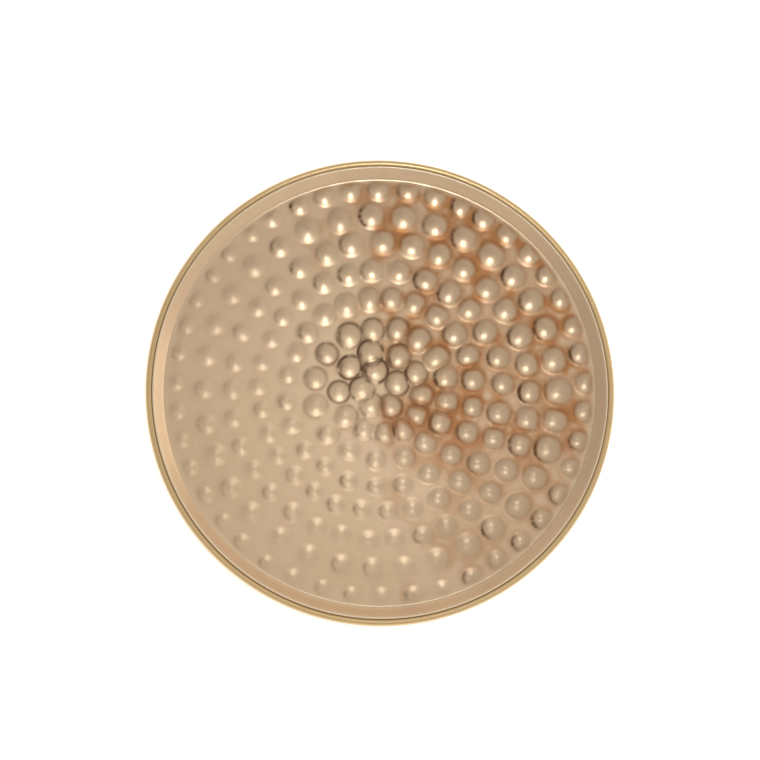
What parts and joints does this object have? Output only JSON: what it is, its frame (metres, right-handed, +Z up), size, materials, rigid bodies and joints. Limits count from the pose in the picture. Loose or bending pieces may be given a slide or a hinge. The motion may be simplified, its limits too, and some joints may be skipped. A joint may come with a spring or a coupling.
{
  "type": "hammered tray",
  "caption": "Round shallow serving tray of hand-punched brass sheet, with a rolled polished brass rim over a core wire and felt feet underneath.",
  "frame": {"origin": "on the surface the tray stands on, under the middle of the tray", "axes": "+Z up out of the tray's hollow; X and Y in the plane of the rim, with no preferred direction on the round tray"},
  "size_m": [0.3, 0.3, 0.0107],
  "materials": {
    "satin_brass": "satin, hand punched, with darker patina in the hollows",
    "polished_brass": "polished",
    "wire_brass": "drawn wire, unpolished",
    "felt": "pressed wool felt"
  },
  "bodies": {
    "root": {"hammered_pan": "satin_brass", "rim_band": "polished_brass", "rim_wire": "wire_brass", "felt_foot_1": "felt", "felt_foot_2": "felt", "felt_foot_3": "felt", "felt_foot_4": "felt"}
  },
  "joints": []
}
